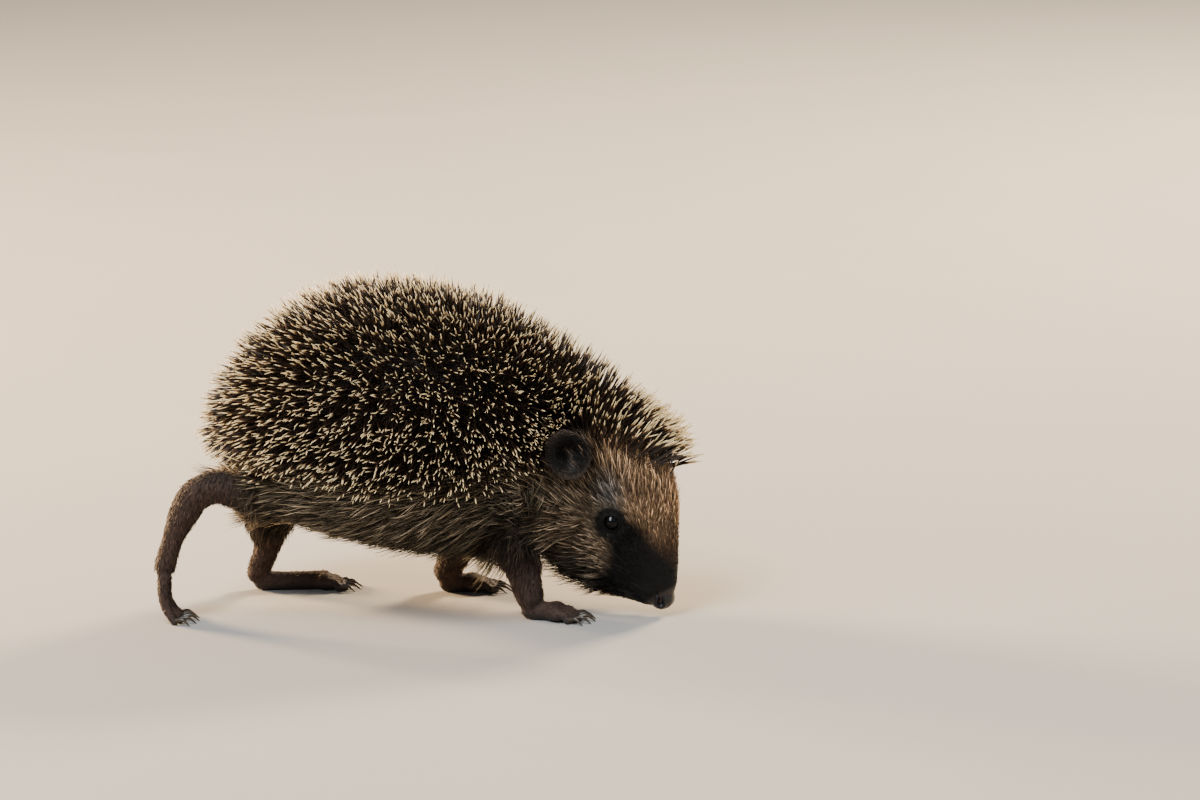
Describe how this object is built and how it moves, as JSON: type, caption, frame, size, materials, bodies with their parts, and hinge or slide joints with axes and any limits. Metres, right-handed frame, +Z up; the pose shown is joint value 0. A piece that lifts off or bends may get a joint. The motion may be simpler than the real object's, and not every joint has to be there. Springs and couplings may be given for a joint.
{
  "type": "hedgehog",
  "caption": "European hedgehog in mid-step with its nose to the ground: spiny back, furry flanks and belly, round ears, one hind leg stretched back.",
  "frame": {"origin": "on the floor under the middle of the animal's bounding box", "axes": "+X towards the animal's front, +Y to its left side, +Z up"},
  "size_m": [0.1972, 0.103, 0.1197],
  "materials": {
    "spine_coat": "stiff spines, dark with cream tips, over dark skin",
    "body_fur": "coarse grey-brown fur with tan tips",
    "face_fur": "short tan fur on the brow, grey cheeks and a dark mask",
    "dark_skin": "bare dark skin of ears, feet and tail",
    "nose_leather": "moist black nose leather",
    "eye_black": "wet glossy black"
  },
  "bodies": {
    "root": {"mantle": "spine_coat", "trunk": "body_fur", "neck": "body_fur", "head": "face_fur", "muzzle": "face_fur", "lower_jaw": "face_fur", "nose": "nose_leather", "ear_left": "dark_skin", "ear_right": "dark_skin", "eye_left": "eye_black", "eye_right": "eye_black", "foreleg_left": "body_fur", "foreleg_right": "body_fur", "forefoot_left": "dark_skin", "forefoot_right": "dark_skin", "hindleg_left": "body_fur", "hindleg_right": "body_fur", "hindfoot_left": "dark_skin", "hindfoot_right": "dark_skin", "tail": "dark_skin"}
  },
  "joints": []
}
